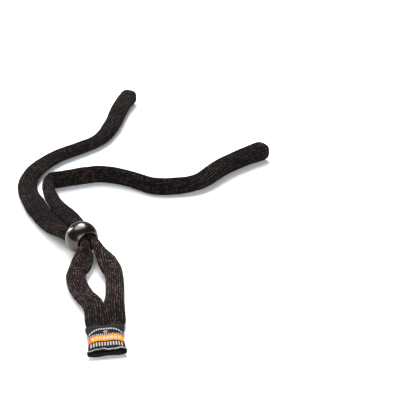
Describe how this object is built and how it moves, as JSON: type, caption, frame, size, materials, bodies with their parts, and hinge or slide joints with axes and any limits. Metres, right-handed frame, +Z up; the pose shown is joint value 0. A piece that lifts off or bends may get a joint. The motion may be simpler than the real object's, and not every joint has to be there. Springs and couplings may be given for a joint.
{
  "type": "eyeglass retainer strap",
  "caption": "Sports strap for glasses: knitted tube legs with temple sleeves, a slide bead that tightens them, and a woven label over the sewn ends.",
  "frame": {"origin": "centre of the bounding box's bottom, on the surface that the strap lies on", "axes": "+Z up from that surface; +Y from the label end towards the temple sleeves, the longest way; +X to the sleeve of the wearer's right temple"},
  "size_m": [0.1591, 0.3136, 0.018],
  "materials": {
    "knit": "ribbed knitted tube, near black with a warm brown fleck",
    "thread": "black sewing thread",
    "bead": "polished dark plastic",
    "label": null,
    "binding": "folded black tape"
  },
  "bodies": {
    "strap": {"left_temple_sleeve": "knit", "left_mouth_hem": "thread", "left_leg": "knit", "right_temple_sleeve": "knit", "right_mouth_hem": "thread", "right_leg": "knit", "join_seam": "thread", "label_band": "label", "label_stitch_upper": "thread", "label_stitch_lower": "thread", "end_binding": "binding"},
    "bead": {"slide_bead": "bead"}
  },
  "joints": [
    {"name": "bead_slide", "type": "slide", "parent": "strap", "child": "bead", "axis": [0.6159, -0.7878, 0], "range_m": [-0.022, 0.022], "deforming": ["left_leg", "right_leg"]}
  ]
}
